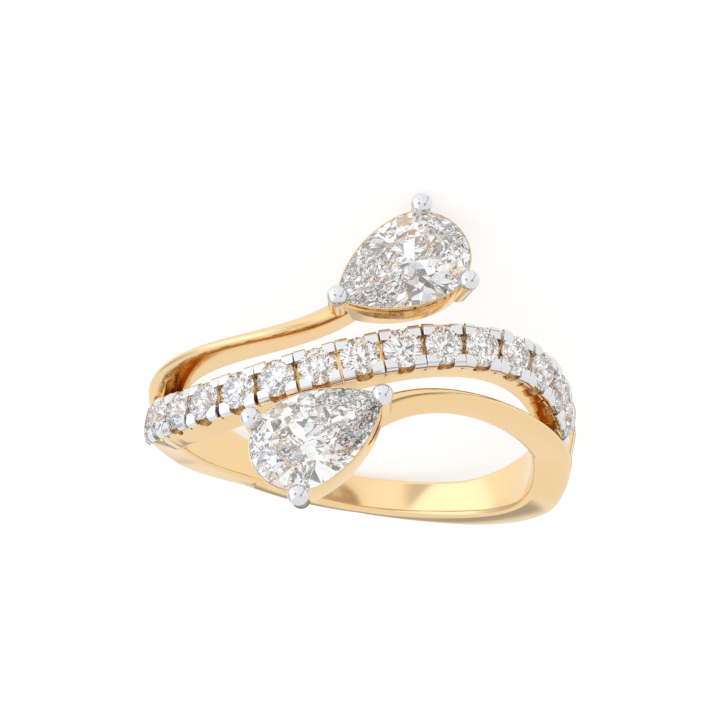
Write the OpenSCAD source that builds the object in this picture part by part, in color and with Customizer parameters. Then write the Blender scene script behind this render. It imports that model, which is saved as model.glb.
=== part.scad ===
// Wrap ring. A plain band climbs at each end to a pear stone, and a strand of round stones
// crosses between them. The ring turns into itself by half a turn about the axis through its head.
//
// The ring is worked out standing: x to the right, y away, z up through the head. An angle goes
// round the finger from the head towards +x, and an offset goes towards -y, the near side.
// The last step lays it on its far side.

/* [Finger hole] */
// Radius of the finger hole
finger_r = 8.65; // [8.55:0.05:8.75]

/* [Plain band] */
// Half width of the band at the back
back_half_w = 0.88; // [0.8:0.02:1]
// Wall of the band at the back
back_wall = 1; // [0.95:0.05:1.3]
// Wall of the band at the sides
side_wall = 1.75; // [1.7:0.05:1.9]
// Wall of the band where it reaches a pear stone
head_wall = 1.3; // [1.2:0.05:1.4]
// Offset of the band's outer edge at the side of the ring
strand_out = 0.84; // [0.78:0.02:0.9]
// Offset of the band's inner edge at the side of the ring
strand_in = -0.24; // [-0.34:0.02:-0.22]
// How far the outer edge climbs towards the pear stone
climb_out = 4.5; // [4.3:0.1:4.7]
// How far the inner edge climbs towards the pear stone
climb_in = 2.9; // [2.8:0.1:3]
// Angle over which the climb fades
climb_fade = 16.2; // [15.5:0.1:17]
// How far the outer edge stands out where the band has run into the shank
shoulder = 0.6; // [0.5:0.02:0.66]

/* [Stone strand] */
// Sideways swing of the strand
swing = 2.42; // [2.3:0.02:2.5]
// Angle at which the swing would come back to the middle
swing_angle = 108.8; // [104:0.4:112]
// Half width of the strand at the finger
strand_half_w = 1.36; // [1.3:0.02:1.4]
// Half width of the strand at its top
top_half_w = 1.06; // [1.02:0.02:1.1]
// Wall of the strand at the head, white claws included
stone_wall = 1.3; // [1.25:0.05:1.4]
// What that wall gains at the sides
stone_wall_gain = 0.15; // [0.1:0.05:0.3]
// Height of the white claws
claw_h = 0.34; // [0.3:0.02:0.36]
// Round stones on each side of the middle one
side_stones = 7; // [5:1:7]
// Distance from stone to stone along the strand
pitch = 2.13; // [2.1:0.01:2.15]
// Diameter of a round stone
round_d = 1.94; // [1.84:0.02:1.96]

/* [Pear stones] */
// Length of a pear stone
pear_l = 7; // [6.9:0.05:7.1]
// Width of a pear stone
pear_w = 4.6; // [4.5:0.05:4.7]
// Offset of the pear's point to the right of the head
point_x = 1.46; // [1.4:0.02:1.52]
// Offset of the pear's point towards the near side
point_a = 2.32; // [2.26:0.02:2.38]
// Direction of the pear's axis, from its point to its round end
pear_turn = 140.9; // [140:0.1:142]
// How far the round end leans down
pear_lean = 4.9; // [4:0.1:6]
// Height of the ball on the pear's point above the ring's middle
ball_z = 11.3; // [11.2:0.05:11.4]
// Depth of the girdle below the balls
girdle_drop = 0.25; // [0.2:0.01:0.3]
// Depth of the basket below the balls
basket_drop = 2.3; // [2.2:0.05:2.4]
// Radius of a claw
claw_r = 0.46; // [0.44:0.01:0.5]
// Radius of the white ball on a claw
ball_r = 0.52; // [0.5:0.01:0.54]
// Distance of the two side claws from the stone's edge
claw_out = 0.29; // [0.25:0.01:0.32]
// Angle of the side claws off the pear's axis
claw_angle = 60.9; // [58:0.1:64]

/* [Resting] */
// Lean of the standing ring about its near-far axis
lay_lean = -7.2; // [-9:0.1:-5]
// Turn about its left-right axis, which lays it on its far side
lay_pitch = -69.3; // [-71:0.1:-68]
// Turn about the new upright axis, which points the head at -Y
lay_turn = 172.3; // [165:0.1:178]

/* [Hidden] */

function stone_name(i) = str("round_stone_", i + side_stones + 1);
function mix(a, b, t) = a + (b - a) * t;
function ease(a, b, x) = let (t = min(1, max(0, (x - a) / (b - a)))) t * t * (3 - 2 * t);

// A point of the standing ring at an angle, an offset and a radius
function spot(angle, offset, r) = [r * sin(angle), -offset, r * cos(angle)];

gap = 0.02;
// The sweeps start this far inside the finger hole, which is bored last
skin = 0.25;
root = 0.1;
$fn = 48;

// Plain band
band_end = 4;
band_steps = 50;
arc_steps = 5;
function out_edge(t) = mix(strand_out, back_half_w, ease(120, 180, t))
    + climb_out * exp(-t / (climb_fade - 0.4)) + shoulder * (ease(76, 104, t) - ease(104, 170, t));
function in_edge(t) = mix(strand_in, -back_half_w, ease(70, 140, t))
    + climb_in * exp(-t / (climb_fade + 0.8));
function band_wall(t) = mix(t < 90 ? head_wall : back_wall, side_wall, sin(t));
// The crest lies between a wide outer dome and a tight inner rounding. The dome ends where the band
// has run into the shank, and at the back both edges are alike.
back_round = 0.5;
side_round = 0.32;
in_round = 0.25;
crest_in = 0.47;
dome_lean = 30;
dome_low = -0.11;
function flat_side(t) = ease(80, 113, t);
function backness(t) = ease(90, 170, t);
function out_round(t) = mix(side_round, back_round, ease(140, 178, t));
function out_reach(t) = mix(out_edge(t) - in_edge(t) - crest_in, out_round(t), flat_side(t));
function in_reach(t) = mix(in_round, back_round, backness(t));
function wall_lean(t) = mix(0.2, 0, backness(t));
// An arc that leaves the wall at the angle lean0 from upright and ends level
function side_arc(from, reach, low, high, lean0) = [
    for (i = [0 : arc_steps])
        let (f = mix(lean0, 90, i / arc_steps), rise = (sin(f) - sin(lean0)) / (1 - sin(lean0)))
        [from - reach * (1 - cos(f) / cos(lean0)), low + (high - low) * rise]
];
function flip(pts) = [for (i = [len(pts) - 1 : -1 : 0]) pts[i]];
function band_section(t) = let (
    k = flat_side(t), o = out_edge(t), n = in_edge(t), top = finger_r + band_wall(t)
) concat(
    [[o, finger_r - skin - root]],
    side_arc(o, out_reach(t), mix(finger_r + dome_low, top - out_round(t), k), top, mix(dome_lean, 0, k)),
    flip(side_arc(n + wall_lean(t), -in_reach(t), top - back_round, top, 0)),
    [[n - 0.3 * wall_lean(t), finger_r - skin - root]]
);
function turned(section) = [for (i = [len(section) - 1 : -1 : 0]) [-section[i][0], section[i][1]]];
function band_ring(t) = let (s = t <= 180 ? band_section(t) : turned(band_section(360 - t)))
    [for (p = s) spot(t, p[0], p[1])];

// A closed skin through rings of points, each ring clockwise seen from behind
module sweep(rings) {
    n = len(rings[0]);
    last = len(rings) - 1;
    polyhedron(
        points = [for (r = rings) each r],
        faces = concat(
            [[for (i = [n - 1 : -1 : 0]) i]],
            [for (k = [0 : last - 1], i = [0 : n - 1])
                [k * n + i, k * n + (i + 1) % n, (k + 1) * n + (i + 1) % n, (k + 1) * n + i]],
            [[for (i = [0 : n - 1]) last * n + i]]
        ),
        convexity = 8
    );
}
module band() {
    sweep([for (k = [0 : band_steps]) band_ring(mix(band_end, 360 - band_end, k / band_steps))]);
}

// Stone strand
strand_end = 156;
strand_skin = 0.4;
function path_at(t) = -swing * sin(180 * t / swing_angle);
function path_rate(t) = -swing * cos(180 * t / swing_angle) * PI / swing_angle;
function claw_top(t) = finger_r + stone_wall + stone_wall_gain * abs(sin(t));
function path_step(t) = norm([claw_top(t) * PI / 180, path_rate(t)]);
function path_slope(t) = atan2(path_rate(t), claw_top(t) * PI / 180);
function half_steps(n) = n == 0 ? 0 : let (p = half_steps(n - 1)) p + pitch / 2 / path_step(p);
function stone_angle(i) = sign(i) * half_steps(2 * abs(i));
// The gold rises to the level of the white claws just past the last of them
row_end = half_steps(2 * side_stones + 1) + 1.9;
row_rise = 1;
strand_angles = concat(
    [for (k = [0 : 17]) row_end * k / 17],
    [for (k = [0 : 15]) mix(row_end + row_rise, strand_end, k / 15)]
);

// From merge_from on, the edges of the strand run into those of the shank
merge_from = 64;
merge_fade = 27;
function foot_half(t) = strand_half_w / cos(path_slope(t));
function merge(x) = (1 - ease(55, 88, x)) / (1 + pow(max(x, 0) / merge_fade, 2.2));
// Offsets of the edge away from the plain band and of the edge towards it, at positive angles.
// The strand sinks into the shank where it ends.
end_sink = 0.06;
function far_foot(t) = t < merge_from ? path_at(t) - foot_half(t)
    : mix(end_sink * ease(130, strand_end, t) - back_half_w,
        path_at(merge_from) - foot_half(merge_from), merge(t - merge_from));
function near_foot(t) = t < merge_from ? path_at(t) + foot_half(t)
    : mix(path_at(merge_from) + foot_half(merge_from), 0.2, ease(merge_from - 5, 110, t));
function past_row(t) = ease(row_end, row_end + row_rise, t);
function below_crest(t) = mix(0.15, 0.03, ease(row_end, 95, t)) + 0.22 * ease(130, strand_end, t);
function strand_top(t) = mix(claw_top(t) - claw_h, finger_r + band_wall(t) - below_crest(t), past_row(t));
function strand_lean(t) = mix(strand_half_w - top_half_w, 0, ease(row_end, 125, t));
function strand_edge(t) = mix(
    mix(0.1, 0.28, ease(row_end, row_end + 12, t)), back_round, ease(125, strand_end, t));
function half_section(t) = let (
    f = far_foot(t), n = near_foot(t), l = strand_lean(t), e = strand_edge(t), top = strand_top(t)
) concat(
    [[n + 0.4 * l, finger_r - strand_skin], [n - l, top - 0.1], [n - l - 0.1, top]],
    flip(side_arc(f + l, -e, top - e, top, 0)),
    [[f - 0.4 * l, finger_r - strand_skin]]
);
function strand_section(t) = t >= 0 ? half_section(t) : turned(half_section(-t));
module strand_base() {
    last = len(strand_angles) - 1;
    sweep([for (k = [-last : last]) let (t = sign(k) * strand_angles[abs(k)])
        [for (p = strand_section(t)) spot(t, p[0], p[1])]]);
}
module at_stone(i) {
    t = stone_angle(i);
    rotate([0, t, 0]) translate([0, -path_at(t), claw_top(t)]) rotate([0, 0, -path_slope(t)]) children();
}

// A cut stone from its outline of 8 * per points, with its girdle at z = 0
function toward(c, p, s) = [c[0] + s * (p[0] - c[0]), c[1] + s * (p[1] - c[1])];
table_s = 0.56;
star_s = 0.79;
pavilion_s = 0.24;
function star_z(h) = h * (1 - star_s * cos(22.5)) / (1 - table_s);
module cut_stone(outline, mid, crown_h, pavilion_h, girdle_h) {
    n = len(outline);
    per = n / 8;
    B = 8; G = 16; L = 16 + n; D = 16 + 2 * n; C = D + 8;
    main = [for (i = [0 : 7]) outline[i * per]];
    half = [for (i = [0 : 7]) outline[i * per + per / 2]];
    points = concat(
        [for (p = main) let (q = toward(mid, p, table_s)) [q[0], q[1], girdle_h / 2 + crown_h]],
        [for (p = half) let (q = toward(mid, p, star_s)) [q[0], q[1], girdle_h / 2 + star_z(crown_h)]],
        [for (p = outline) [p[0], p[1], girdle_h / 2]],
        [for (p = outline) [p[0], p[1], -girdle_h / 2]],
        [for (p = half) let (q = toward(mid, p, pavilion_s))
            [q[0], q[1], -girdle_h / 2 - pavilion_h * (1 - pavilion_s * cos(22.5))]],
        [[mid[0], mid[1], -girdle_h / 2 - pavilion_h]]
    );
    next = function (i) (i + 1) % 8;
    ring = function (j) (j + n) % n;
    polyhedron(points = points, faces = concat(
        [[7, 6, 5, 4, 3, 2, 1, 0]],
        [for (i = [0 : 7]) [i, next(i), B + i]],
        [for (i = [0 : 7]) [i, B + i, G + i * per]],
        [for (i = [0 : 7]) [next(i), G + ring((i + 1) * per), B + i]],
        [for (i = [0 : 7], j = [0 : per - 1]) [B + i, G + ring(i * per + j + 1), G + i * per + j]],
        [for (j = [0 : n - 1]) [G + j, G + ring(j + 1), L + ring(j + 1), L + j]],
        [for (i = [0 : 7], j = [0 : per - 1]) [D + i, L + i * per + j, L + ring(i * per + j + 1)]],
        [for (i = [0 : 7]) [C, L + i * per, D + i]],
        [for (i = [0 : 7]) [C, D + i, L + ring((i + 1) * per)]]
    ), convexity = 4);
}

// Round stones
crown_part = 0.15;
pavilion_part = 0.43;
girdle_part = 0.03;
round_sink = 0.12;
function round_outline(r) = [for (j = [0 : 15]) [r * cos(22.5 * j), r * sin(22.5 * j)]];
module round_stone(i) {
    color("white") at_stone(i) translate([0, 0, -round_sink]) cut_stone(
        round_outline(round_d / 2), [0, 0],
        crown_part * round_d, pavilion_part * round_d, girdle_part * round_d);
}
module round_seat() {
    r = round_d / 2 + gap;
    depth = (pavilion_part + girdle_part) * round_d + 3 * gap;
    translate([0, 0, -round_sink - depth]) cylinder(h = depth, r1 = 0.12, r2 = r + 0.05, $fn = 32);
}
// The two pairs of white claws at the ends of one stone's cell
slit = 0.1;
claw_deep = 0.56;
claw_long = 0.6;
module claw_block() {
    rotate([90, 0, 90]) linear_extrude(claw_long) polygon([
        [top_half_w - claw_deep, 0], [top_half_w + 0.04, 0], [top_half_w, claw_h * 0.55],
        [top_half_w - 0.08, claw_h * 0.86], [top_half_w - 0.2, claw_h], [top_half_w - claw_deep, claw_h]
    ]);
}
module cell_claws() {
    half = (pitch - slit) / 2;
    translate([0, 0, -claw_h + gap]) difference() {
        for (turn = [0, 180], x = [-half, half - claw_long])
            rotate([0, 0, turn]) translate([x, 0, 0]) claw_block();
        translate([0, 0, -1]) cylinder(h = 3, r = round_d / 2 + gap);
    }
}
module strand_claws() {
    color("lightgray") for (i = [-side_stones : side_stones]) at_stone(i) cell_claws();
}

// Pear stones
pear_r = pear_w / 2;
wing_r = (pow(pear_l - pear_r, 2) + pow(pear_r, 2)) / pear_w;
pear_mid = [pear_l * 0.61, 0];
pear_crown = 0.62;
pear_pavilion = 1.86;
pear_girdle = 0.08;
// Outline of the pear grown by d, from the point round the far side, 8 * per points
function wing_point(d, f) = let (a = mix(asin((wing_r - pear_r) / (wing_r + d)), 90, f))
    [pear_l - pear_r - (wing_r + d) * cos(a), (wing_r + d) * sin(a) - wing_r + pear_r];
function pear_outline(d, per) = concat(
    [for (j = [0 : 2 * per - 1]) wing_point(d, j / (2 * per))],
    [for (j = [0 : 4 * per]) let (a = 90 - 180 * j / (4 * per))
        [pear_l - pear_r + (pear_r + d) * cos(a), (pear_r + d) * sin(a)]],
    [for (j = [2 * per - 1 : -1 : 1]) let (p = wing_point(d, j / (2 * per))) [p[0], -p[1]]]
);
// The near pear's own axes: x along the stone from the ball on its point, z through its table
module at_near_pear() {
    translate([point_x, -point_a, ball_z]) rotate([0, 0, -pear_turn]) rotate([0, pear_lean, 0]) children();
}
module at_pear(far) {
    rotate([0, 0, far ? 180 : 0]) at_near_pear() children();
}
module pear_stone(grow) {
    translate([0, 0, -girdle_drop]) cut_stone(
        flip(pear_outline(grow, 4)), pear_mid,
        pear_crown + grow, pear_pavilion + grow, pear_girdle + 2 * grow);
}
function claw_spot(i) = i == 1 ? [0, 0] : [
    pear_l - pear_r + (pear_r + claw_out) * cos(claw_angle),
    (i == 2 ? 1 : -1) * (pear_r + claw_out) * sin(claw_angle)
];
// Each claw leans in below its ball, and ends under a flat seat for it
ball_foot = 0.3;
module pear_claw(i) {
    p = claw_spot(i);
    aim = atan2(p[1], p[0] - (pear_l - pear_r));
    translate([p[0], p[1], 0]) rotate([0, 0, aim]) rotate([0, i == 1 ? 5 : 12, 0])
        translate([0, 0, -basket_drop]) cylinder(h = basket_drop, r = claw_r);
}
module ball_seat(i) {
    translate([claw_spot(i)[0], claw_spot(i)[1], -ball_foot - gap]) cylinder(h = 1, r = ball_r + 1.5 * gap);
}
module ball(far, i) {
    color("lightgray") at_pear(far) difference() {
        translate([claw_spot(i)[0], claw_spot(i)[1], 0]) difference() {
            sphere(r = ball_r);
            translate([-1, -1, -ball_foot - 1]) cube([2, 2, 1]);
        }
        pear_stone(gap);
    }
}
wall_out = 0.08;
wall_in = 0.32;
wall_taper = 0.12;
rim_top = 0.24;
rim_foot = 0.6;
window_top = 0.8;
// A window under the rim: its chord runs from one place along the wing to another
module window(side, from, to, depth) {
    a = wing_point(0, from);
    b = wing_point(0, to);
    l = norm(b - a);
    r = (l * l / 4 + depth * depth) / (2 * depth);
    translate([(a[0] + b[0]) / 2, side * (a[1] + b[1]) / 2, -window_top - depth])
        rotate([0, 0, side * atan2(b[1] - a[1], b[0] - a[0])])
        intersection() {
            translate([0, 0, r]) rotate([90, 0, 0]) cylinder(h = 1.7, r = r, center = true);
            translate([-l, -1, -1]) cube([2 * l, 2, 1 + depth]);
        }
}
// The wall's outer skin tapers towards its foot
module basket_skin() {
    n = 48;
    foot = flip(pear_outline(wall_out - wall_taper, 6));
    rim = flip(pear_outline(wall_out, 6));
    polyhedron(
        points = concat(
            [for (p = foot) [p[0], p[1], -basket_drop]],
            [for (p = rim) [p[0], p[1], -rim_top]]
        ),
        faces = concat(
            [[for (i = [0 : n - 1]) i]],
            [for (i = [0 : n - 1]) [i, n + i, n + (i + 1) % n, (i + 1) % n]],
            [[for (i = [n - 1 : -1 : 0]) n + i]]
        ),
        convexity = 4
    );
}
module basket() {
    difference() {
        union() {
            difference() {
                basket_skin();
                translate([0, 0, -basket_drop - 1])
                    linear_extrude(basket_drop + 2) polygon(pear_outline(-wall_in, 6));
                window(-1, 0.1, 0.9, 0.8);
                window(1, 0.1, 0.45, 0.6);
                // Below its rim the basket is open at the round end, between the two side claws
                translate([claw_spot(2)[0] - 0.3, -pear_w, -basket_drop - 1])
                    cube([pear_l, 2 * pear_w, basket_drop + 1 - rim_foot]);
            }
            for (i = [1 : 3]) pear_claw(i);
        }
        for (i = [1 : 3]) ball_seat(i);
        pear_stone(gap);
    }
}
module gold_body() {
    color("goldenrod") difference() {
        union() {
            band();
            strand_base();
            for (far = [false, true]) at_pear(far) basket();
        }
        rotate([90, 0, 0]) cylinder(h = 30, r = finger_r, center = true, $fn = 182);
        for (i = [-side_stones : side_stones]) at_stone(i) round_seat();
    }
}

// Lays the standing ring on its far side, with the middle of its outer box above the origin
rest_shift = [0, 2.048, 4.143];
module lying() {
    translate(rest_shift) rotate([0, 0, lay_turn]) rotate([lay_pitch, 0, 0])
        rotate([0, lay_lean, 0]) children();
}

lying() gold_body();
lying() strand_claws();
for (i = [1 : 3]) {
    lying() ball(false, i);
    lying() ball(true, i);
}
lying() color("white") at_pear(false) pear_stone(0);  // near_pear
lying() color("white") at_pear(true) pear_stone(0);  // far_pear
for (i = [-side_stones : side_stones])
    lying() round_stone(i);
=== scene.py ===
"""Wrap ring: a plain band with two pear stones, crossed by a strand of round stones.

The pieces are shaped standing, in millimetres: x to the right, y away, z up through the head.
An angle goes round the finger from the head towards +x, and an offset goes towards -y.
The last step of each piece lays it on its far side, in metres.
"""

import math

import bmesh
import bpy
from mathutils import Matrix, Vector
from mathutils.bvhtree import BVHTree


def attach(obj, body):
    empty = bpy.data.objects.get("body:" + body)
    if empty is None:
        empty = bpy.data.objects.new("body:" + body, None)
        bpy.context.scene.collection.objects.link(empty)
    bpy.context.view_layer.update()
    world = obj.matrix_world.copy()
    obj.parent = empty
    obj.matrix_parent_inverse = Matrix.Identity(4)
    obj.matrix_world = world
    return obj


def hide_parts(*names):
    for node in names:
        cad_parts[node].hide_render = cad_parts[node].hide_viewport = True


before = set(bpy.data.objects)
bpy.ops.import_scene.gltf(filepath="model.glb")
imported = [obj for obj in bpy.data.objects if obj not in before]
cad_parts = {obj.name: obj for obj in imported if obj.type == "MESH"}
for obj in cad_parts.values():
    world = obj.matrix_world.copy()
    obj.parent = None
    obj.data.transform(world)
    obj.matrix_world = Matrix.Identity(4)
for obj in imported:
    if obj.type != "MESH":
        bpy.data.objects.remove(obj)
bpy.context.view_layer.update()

bl_info = {
    "name": "Wrap ring",
    "version": (1, 0, 0),
    "blender": (4, 5, 0),
    "location": "3D View > Sidebar > Ring",
    "description": "Builds a wrap ring with two pear stones and a strand of round stones",
    "category": "Object",
}

MM = 0.001
GOLD_NODE = "gold_body"
CLAW_NODE = "strand_claws"
SIDES = ("near", "far")


def mix(a, b, t):
    return a + (b - a) * t


def ease(a, b, x):
    t = min(1.0, max(0.0, (x - a) / (b - a)))
    return t * t * (3 - 2 * t)


def deg_sin(a):
    return math.sin(math.radians(a))


def deg_cos(a):
    return math.cos(math.radians(a))


def deg_turn(a, axis):
    return Matrix.Rotation(math.radians(a), 4, axis)


# ---- sizes and colours ----


class RingBandSizes(bpy.types.PropertyGroup):
    """The plain band"""

    finger_r: bpy.props.FloatProperty(
        name="Finger radius", description="Radius of the finger hole in mm", default=8.65, min=8.0, max=9.5)
    back_half_w: bpy.props.FloatProperty(
        name="Back half width", description="Half width of the band at the back in mm", default=0.88)
    back_wall: bpy.props.FloatProperty(name="Back wall", description="Wall at the back in mm", default=1.0)
    side_wall: bpy.props.FloatProperty(
        name="Side wall", description="Wall at the sides in mm", default=1.75)
    head_wall: bpy.props.FloatProperty(
        name="Head wall", description="Wall at the pear stones in mm", default=1.3)
    edge_round: bpy.props.FloatProperty(
        name="Edge rounding", description="Rounding of the edges of the finger hole in mm", default=0.2)


class RingStrandSizes(bpy.types.PropertyGroup):
    """The strand of round stones"""

    swing: bpy.props.FloatProperty(
        name="Swing", description="Sideways swing of the strand in mm", default=2.42)
    swing_angle: bpy.props.FloatProperty(
        name="Swing angle", description="Degrees at which the swing would come back to the middle",
        default=108.8)
    half_w: bpy.props.FloatProperty(
        name="Foot half width", description="Half width at the finger in mm", default=1.36)
    top_half_w: bpy.props.FloatProperty(
        name="Top half width", description="Half width at the top in mm", default=1.06)
    wall: bpy.props.FloatProperty(
        name="Wall", description="Wall at the head in mm, claws included", default=1.3)
    wall_gain: bpy.props.FloatProperty(
        name="Wall gain", description="What the wall gains at the sides in mm", default=0.15)
    claw_h: bpy.props.FloatProperty(
        name="Claw height", description="Height of the white claws in mm", default=0.34)
    side_stones: bpy.props.IntProperty(
        name="Side stones", description="Stones on each side of the middle one", default=7)
    pitch: bpy.props.FloatProperty(
        name="Pitch", description="Distance from stone to stone in mm", default=2.13)
    round_d: bpy.props.FloatProperty(
        name="Stone diameter", description="Diameter of a round stone in mm", default=1.94)


class RingPearSizes(bpy.types.PropertyGroup):
    """The pear stones and their baskets"""

    length: bpy.props.FloatProperty(name="Length", description="Length of a pear stone in mm", default=7.0)
    width: bpy.props.FloatProperty(name="Width", description="Width of a pear stone in mm", default=4.6)
    place: bpy.props.FloatVectorProperty(
        name="Point", description="Ball on the near pear's point, standing, in mm",
        default=(1.46, -2.32, 11.3))
    turn: bpy.props.FloatProperty(
        name="Turn", description="Direction of the stone's axis in degrees", default=140.9)
    lean: bpy.props.FloatProperty(
        name="Lean", description="Degrees that the round end leans down", default=4.9)
    ball_r: bpy.props.FloatProperty(
        name="Ball radius", description="Radius of a white ball in mm", default=0.52)
    claw_r: bpy.props.FloatProperty(
        name="Claw radius", description="Radius of a gold claw in mm", default=0.46)
    basket_drop: bpy.props.FloatProperty(
        name="Basket depth", description="Depth of the basket below the balls in mm", default=2.3)


class RingLooks(bpy.types.PropertyGroup):
    """Colours and finishes"""

    gold: bpy.props.FloatVectorProperty(
        name="Yellow gold", description="Colour of the polished gold",
        subtype="COLOR", size=3, min=0, max=1, default=(0.85, 0.615, 0.335))
    gold_deep: bpy.props.FloatVectorProperty(
        name="Gold, deeper", description="Slightly deeper tone in the gold",
        subtype="COLOR", size=3, min=0, max=1, default=(0.83, 0.59, 0.31))
    # Painted shade: the gold is painted towards this dark tone deep in corners and between the strand and the band
    gold_painted_shade: bpy.props.FloatVectorProperty(
        name="Gold in corners", description="Tone of the gold deep in corners",
        subtype="COLOR", size=3, min=0, max=1, default=(0.22, 0.10, 0.03))
    white: bpy.props.FloatVectorProperty(
        name="White gold", description="Colour of the white metal",
        subtype="COLOR", size=3, min=0, max=1, default=(0.72, 0.72, 0.73))
    white_deep: bpy.props.FloatVectorProperty(
        name="White gold, deeper", description="Slightly deeper tone in the white metal",
        subtype="COLOR", size=3, min=0, max=1, default=(0.70, 0.70, 0.72))
    stone_ior: bpy.props.FloatProperty(
        name="Stone IOR", description="Index of refraction of the stones", default=2.8)
    floor: bpy.props.FloatVectorProperty(
        name="Floor", description="Colour of the floor",
        subtype="COLOR", size=3, min=0, max=1, default=(0.45, 0.45, 0.45))
    floor_glow: bpy.props.FloatProperty(
        name="Floor glow", description="Light that the floor gives off by itself", default=0.6)


class RingStage(bpy.types.PropertyGroup):
    """How the ring lies, and the camera and the light"""

    lay: bpy.props.FloatVectorProperty(
        name="Laying turns", description="Lean, pitch and turn that lay the ring on its far side, in degrees",
        default=(-7.2, -69.3, 172.3))
    shift: bpy.props.FloatVectorProperty(
        name="Ring middle", description="Middle of the finger hole above the floor, in mm",
        default=(0.0, 2.048, 4.143))
    away: bpy.props.FloatProperty(
        name="Camera distance", description="Camera's distance from the middle of the hole in mm",
        default=700.0)
    lens: bpy.props.FloatProperty(name="Lens", description="Focal length in mm", default=722.2)
    key_height: bpy.props.FloatProperty(
        name="Key height", description="Degrees that the key panel stands above the floor", default=24.0)
    key_power: bpy.props.FloatProperty(
        name="Key power", description="Strength of the key panel in watts", default=0.35)
    floor_size: bpy.props.FloatProperty(
        name="Floor size", description="Length of the floor in metres", default=1.6, unit="LENGTH")


def settings():
    scene = bpy.context.scene
    return scene.ring_band, scene.ring_strand, scene.ring_pear, scene.ring_looks, scene.ring_stage


def laying():
    """Matrix from the standing ring in millimetres to where it lies in metres."""
    stage = settings()[4]
    lean, pitch, turn = stage.lay
    turned = deg_turn(turn, "Z") @ deg_turn(pitch, "X") @ deg_turn(lean, "Y")
    return Matrix.Scale(MM, 4) @ Matrix.Translation(stage.shift) @ turned


def spot(angle, offset, r):
    return Vector((r * deg_sin(angle), -offset, r * deg_cos(angle)))


def ring_of(section, angle, turned):
    """Points of a section at that angle; turned is for the half that repeats the other by half a turn."""
    if turned:
        return [spot(angle, -offset, r) for offset, r in reversed(section)]
    return [spot(angle, offset, r) for offset, r in section]


# ---- shape of the band and of the strand ----

# Angles are in degrees from the head, lengths in mm.
CLIMB_OUT, CLIMB_OUT_FADE = 4.5, 15.8
CLIMB_IN, CLIMB_IN_FADE = 2.9, 17.0
STRAND_OUT, STRAND_IN = 0.84, -0.24
SHOULDER, SHOULDER_RISE, SHOULDER_FALL = 0.6, (76, 104), (104, 170)
OUT_TO_BACK, IN_TO_BACK = (120, 180), (70, 140)
BAND_END, BAND_SECTIONS = 4.0, 352
# Where the outer side turns flat, and where the inner side and the outer edge take the back's rounding
FLAT_SIDE, BACK_INSIDE, BACK_OUTSIDE = (80, 113), (90, 170), (140, 178)
BACK_ROUND, SIDE_ROUND, IN_REACH = 0.5, 0.32, 0.25
CREST, WALL_LEAN, BAND_FLARE = 0.47, 0.2, 0.3
DOME_LEAN, DOME_LOW = 30, -0.11
FOOT_ROUND, FOOT_DEPTH = 0.3, 0.35
FOOT_STEPS, CREST_STEPS, EDGE_STEPS = 7, 20, 10
STRAND_END, STRAND_LIFT = 156.0, 0.003
STRAND_FOOT_DEPTH, STRAND_FLARE, UPRIGHT_AT = 0.4, 0.4, 125
ROW_SECTIONS, RISE_SECTIONS, REST_SECTIONS = 70, 4, 80
# From here on the edges of the strand run into those of the shank
MERGE_FROM, MERGE_FADE, MERGE_POWER, MERGE_OUT = 64.0, 27, 2.2, (55, 88)
NEAR_STAY, NEAR_MERGE = 0.2, (59, 110)
END_FROM, END_SINK, END_DEPTH = 130, 0.06, 0.22
BELOW_CREST, BELOW_UNTIL = (0.15, 0.03), 95
NEAR_EDGE, FAR_EDGE, FAR_EDGE_AFTER, FAR_EDGE_RUN = 0.08, 0.08, 0.28, 12
CLAW_TO_GOLD = 1.9


class Band:
    """Edges and wall of the plain band at an angle from the head."""

    def __init__(self):
        self.size = settings()[0]

    def out_edge(self, t):
        shoulder = SHOULDER * (ease(*SHOULDER_RISE, t) - ease(*SHOULDER_FALL, t))
        climb = CLIMB_OUT * math.exp(-t / CLIMB_OUT_FADE)
        return mix(STRAND_OUT, self.size.back_half_w, ease(*OUT_TO_BACK, t)) + climb + shoulder

    def in_edge(self, t):
        climb = CLIMB_IN * math.exp(-t / CLIMB_IN_FADE)
        return mix(STRAND_IN, -self.size.back_half_w, ease(*IN_TO_BACK, t)) + climb

    def wall(self, t):
        return mix(self.size.head_wall if t < 90 else self.size.back_wall, self.size.side_wall, deg_sin(t))

    def section(self, t):
        """Outline as (offset, radius), from the outer foot over the crest to the inner foot."""
        s = self.size
        flat, back, end = ease(*FLAT_SIDE, t), ease(*BACK_INSIDE, t), ease(*BACK_OUTSIDE, t)
        out, inner, wall = self.out_edge(t), self.in_edge(t), self.wall(t)
        top = s.finger_r + wall
        side_round = mix(SIDE_ROUND, BACK_ROUND, end)
        low = mix(s.finger_r + DOME_LOW, top - side_round, flat)
        lean = deg_sin(mix(DOME_LEAN, 0, flat))
        cos_lean = math.sqrt(1 - lean * lean)
        reach = mix(out - inner - CREST, side_round, flat)
        foot = mix(FOOT_ROUND, s.edge_round, end)
        start = math.asin(max(lean, lean + (s.finger_r + foot - low) / (top - low) * (1 - lean)))

        def outer(f):
            rise = (math.sin(f) - lean) / (1 - lean)
            return (out - reach * (1 - math.cos(f) / cos_lean), low + (top - low) * rise)

        points = foot_arc(outer(start)[0], -foot, s.finger_r, foot)
        points += [outer(mix(start, math.pi / 2, i / CREST_STEPS)) for i in range(1, CREST_STEPS + 1)]
        side = inner + mix(WALL_LEAN, 0, back)
        in_reach = mix(IN_REACH, BACK_ROUND, back)
        points += [(side + in_reach * (1 - math.cos(f)), top - BACK_ROUND * (1 - math.sin(f)))
                   for f in reversed(quarter(CREST_STEPS, 1))]
        bottom = inner - BAND_FLARE * mix(WALL_LEAN, 0, back)
        share = (s.edge_round + FOOT_DEPTH) / (wall - BACK_ROUND + FOOT_DEPTH)
        points += foot_arc(mix(bottom, side, share), s.edge_round, s.finger_r, s.edge_round)[::-1]
        return points


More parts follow.
